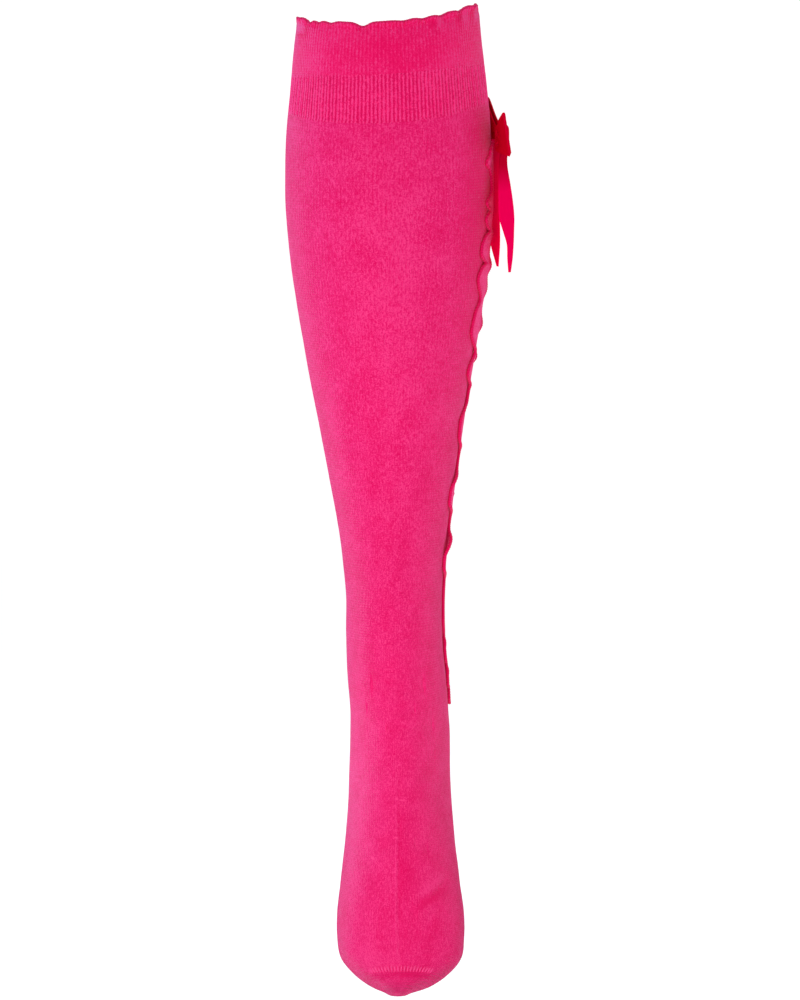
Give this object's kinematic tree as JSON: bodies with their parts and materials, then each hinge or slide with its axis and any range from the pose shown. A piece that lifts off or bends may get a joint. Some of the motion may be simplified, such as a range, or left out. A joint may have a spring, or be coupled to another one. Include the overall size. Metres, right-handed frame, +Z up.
{
  "type": "knee-high sock",
  "caption": "Filled-out knee-high knit sock with a lettuce-edged ribbed cuff, a ruffle sewn down its side, a satin bow at the ruffle's top and a seamed toe.",
  "frame": {"origin": "middle of the rib band's height at its front, on the axis of the leg that the cuff grips", "axes": "+Z up along the leg, -Y the way the toes point, +X the side with the ruffle and the bow"},
  "size_m": [0.132, 0.1884, 0.5482],
  "materials": {
    "cuff_knit": "fine ribbed cotton knit, matt with a soft nap",
    "sock_knit": "fine plain cotton knit, matt with a soft nap",
    "ruffle_knit": "thin stretch knit with an overlocked edge",
    "satin_ribbon": "satin ribbon, glossy"
  },
  "bodies": {
    "root": {"welt": "cuff_knit", "rib_band": "cuff_knit", "leg": "sock_knit", "foot": "sock_knit", "toe": "sock_knit", "ruffle": "ruffle_knit", "bow_loop_near": "satin_ribbon", "bow_loop_far": "satin_ribbon", "bow_knot": "satin_ribbon", "bow_tail_front": "satin_ribbon", "bow_tail_back": "satin_ribbon"}
  },
  "joints": []
}
